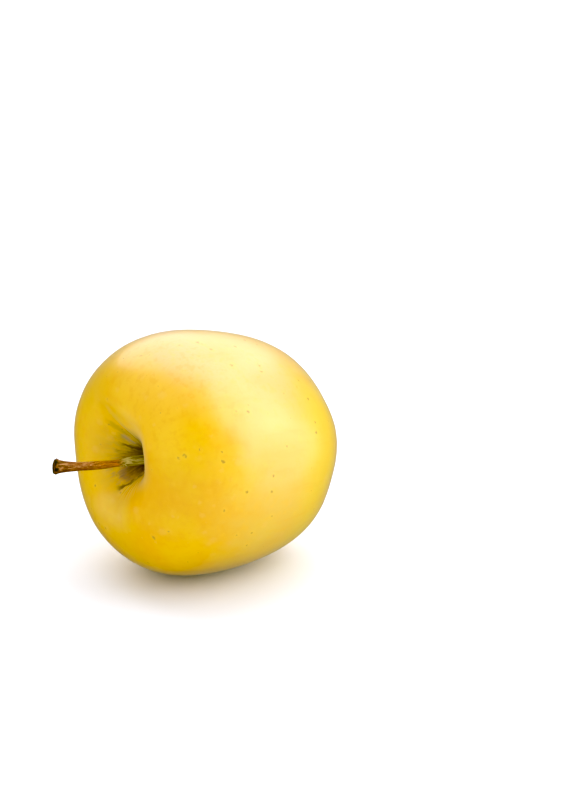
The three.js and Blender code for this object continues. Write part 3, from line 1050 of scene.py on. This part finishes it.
# %% [markdown]
# ## Stamens
#
# Inside the sepals stands a little brush of dead threads, with shrunken heads. They could
# be curves, but thin closed tubes on a low pad join into one piece, as in the solid. Each
# thread leans and bends its own way.

# %% Threads
THREADS, THREAD_STEPS, THREAD_SECTORS = 13, 22, 10
THREAD_RADIUS, THREAD_TAPER, HEAD = 0.15, 0.05, 0.13
OUTER_RING, INNER_RING = 0.95, 0.5


def thread_line(index):
    """The bent middle line of a thread, with a spin, lean and length drawn at random."""
    spin = 360 / THREADS * index + draw.uniform(-12, 12)
    ring = OUTER_RING if index % 2 else INNER_RING
    lean = draw.uniform(0.1, 0.42)
    length = draw.uniform(2.0, 2.9)
    outward = np.array([wave(spin, 0), wave(spin, 90), 0])
    foot = outward * ring + (0, 0, BASIN_FLOOR - 0.5)
    points = [foot, foot + (0, 0, -0.9), foot + outward * lean * 0.4 + (0, 0, -1.6)]
    points.append(foot + outward * lean - (0, 0, length))
    return even_line(points, THREAD_STEPS)


def thread_mesh(index):
    """One thread as a closed tube that swells into a head near its end."""
    line, ways, _ = thread_line(index)
    share = np.linspace(0, 1, THREAD_STEPS)[:, None]
    angle = np.arange(THREAD_SECTORS)[None, :] * 360 / THREAD_SECTORS
    first = unit(np.cross(ways, (0.3, 1, 0.1)))
    second = np.cross(first, ways)
    radius = THREAD_RADIUS - THREAD_TAPER * share + HEAD * peak(share, 0.93, 0.06)
    way = wave(angle, 0)[..., None] * first[:, None] + wave(angle, 90)[..., None] * second[:, None]
    rings = line[:, None] + way * np.broadcast_to(radius, way.shape[:2])[..., None]
    return ringed_mesh(f"thread_{index}", placed(rings), *placed(line[[0, -1]]))


threads = [thread_mesh(index) for index in range(THREADS)]
print(len(threads), "threads stand in the eye")

# %% Pad under the threads
PAD_RADIUS, PAD_HALF_HEIGHT, PAD_DROP = 1.45, 0.7, 1.02
PAD_SECTORS, PAD_RINGS = 32, 20


def pad_mesh():
    """A low cushion with five lobes, just clear of the basin's floor."""
    middle = (0, 0, BASIN_FLOOR - PAD_DROP)
    turn = np.arange(PAD_SECTORS)[None, :] * 360 / PAD_SECTORS
    tilt = np.radians(np.linspace(8, 172, PAD_RINGS))[:, None]
    out = np.sin(tilt) * PAD_RADIUS * (1 + 0.06 * wave(turn, 20, 5))
    up = PAD_HALF_HEIGHT * np.cos(tilt) + 0 * turn
    rings = np.stack([out * wave(turn, 0), out * wave(turn, 90), up], -1) + middle
    ends = np.array([(0, 0, PAD_HALF_HEIGHT), (0, 0, -PAD_HALF_HEIGHT)]) + middle
    return ringed_mesh("pad", placed(rings), *placed(ends))


def joined(name, pieces):
    """One object from several."""
    with bpy.context.temp_override(active_object=pieces[0], selected_editable_objects=pieces):
        bpy.ops.object.join()
    pieces[0].name = name
    return pieces[0]


stamens = joined("stamen_brush", [*threads, pad_mesh()])
dry.wear(stamens)
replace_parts(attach(stamens, "root"), "stamens")
print("stamen brush:", len(stamens.data.polygons), "faces")

# %% [markdown]
# ## Floor
#
# The apple lies on a plain white sheet that runs out of sight. A curved studio sweep
# would do too, but a wide floor under a white sky looks the same and shows no bend. It
# sits a hair below the resting spot so that the two do not flicker.

# %% White floor
FLOOR_HALF = 12  # metres
FLOOR_DROP = 0.05 * MM


def floor_sheet(half):
    """A square sheet under the apple, this far from its middle to each edge."""
    corners = [(-half, -half), (half, -half), (half, half), (-half, half)]
    mesh = bpy.data.meshes.new("floor")
    mesh.from_pydata([(x, y, -FLOOR_DROP) for x, y in corners], [], [(0, 1, 2, 3)])
    sheet = bpy.data.objects.new("floor", mesh)
    bpy.context.scene.collection.objects.link(sheet)
    return sheet


floor = floor_sheet(FLOOR_HALF)
paper = Finish("white_sheet", Specular_IOR_Level=0.0, Roughness=1.0)
paper.wear(floor, Base_Color=linear(243, 246, 255))
print("floor laid")

# %% [markdown]
# ## Light
#
# The soft gleams on the cheek tell where the lamps stand: a large one behind and above,
# two on the right, one above the other down to table height, and a weak one on the left
# that opens the cavity's shade. Area lamps nearby would leave the far floor grey. Suns
# with a wide disc give the same soft gleam and shadow, and light the whole sheet.


# %% Four wide soft lamps
def soft_lamp(name, azimuth, elevation, spread, strength):
    """A white sun, seen at these angles, with a disc this many degrees wide."""
    lamp = bpy.data.lights.new(name, "SUN")
    lamp.energy, lamp.angle = strength, math.radians(spread)
    holder = bpy.data.objects.new(name, lamp)
    holder.rotation_mode = "QUATERNION"
    holder.rotation_quaternion = direction(azimuth, elevation).to_track_quat("Z", "Y")
    bpy.context.scene.collection.objects.link(holder)
    return holder


lamps = [
    soft_lamp("lamp_right_high", 51, 39, 52, 1.15),
    soft_lamp("lamp_right_low", 51, 1, 52, 0.95),
    soft_lamp("lamp_behind", 147, 49, 80, 1.85),
    soft_lamp("lamp_left", -100, 35, 60, 0.15),
]
print(len(lamps), "lamps of strength", [lamp.data.energy for lamp in lamps])

# %% [markdown]
# ## Sky
#
# A white sky fills the shadows. In the wax it would show as a grey film over the whole
# fruit, and so would the white floor. A rougher wax would hide them, but the gleams of
# the lamps as well. So both light the fruit and are only left out of its gloss.

# %% Pale sky, left out of the gloss as the floor is
SKY_STRENGTH = 0.88
sky = bpy.data.worlds.new("sky")
bpy.context.scene.world = sky
sky.use_nodes = True
sky.node_tree.nodes["Background"].inputs["Color"].default_value = (1, 1, 1, 1)
sky.node_tree.nodes["Background"].inputs["Strength"].default_value = SKY_STRENGTH
sky.cycles_visibility.glossy = False
floor.visible_glossy = False
print("sky of strength", SKY_STRENGTH)

# %% [markdown]
# ## Depth of the shade
#
# Blender's usual view imitates film and would pale a bright yellow, so we take the plain
# Standard view instead. Yellow in the shade still looks greyish, because a little blue is
# left in it. A small black level, most of it in blue, makes it deep again.

# %% View settings
BLACK_LEVEL = (0.004, 0.004, 0.049)
screen = bpy.context.scene.view_settings
screen.view_transform = "Standard"
screen.use_curve_mapping = True
screen.curve_mapping.black_level = BLACK_LEVEL
print("black level of red, green and blue:", BLACK_LEVEL)
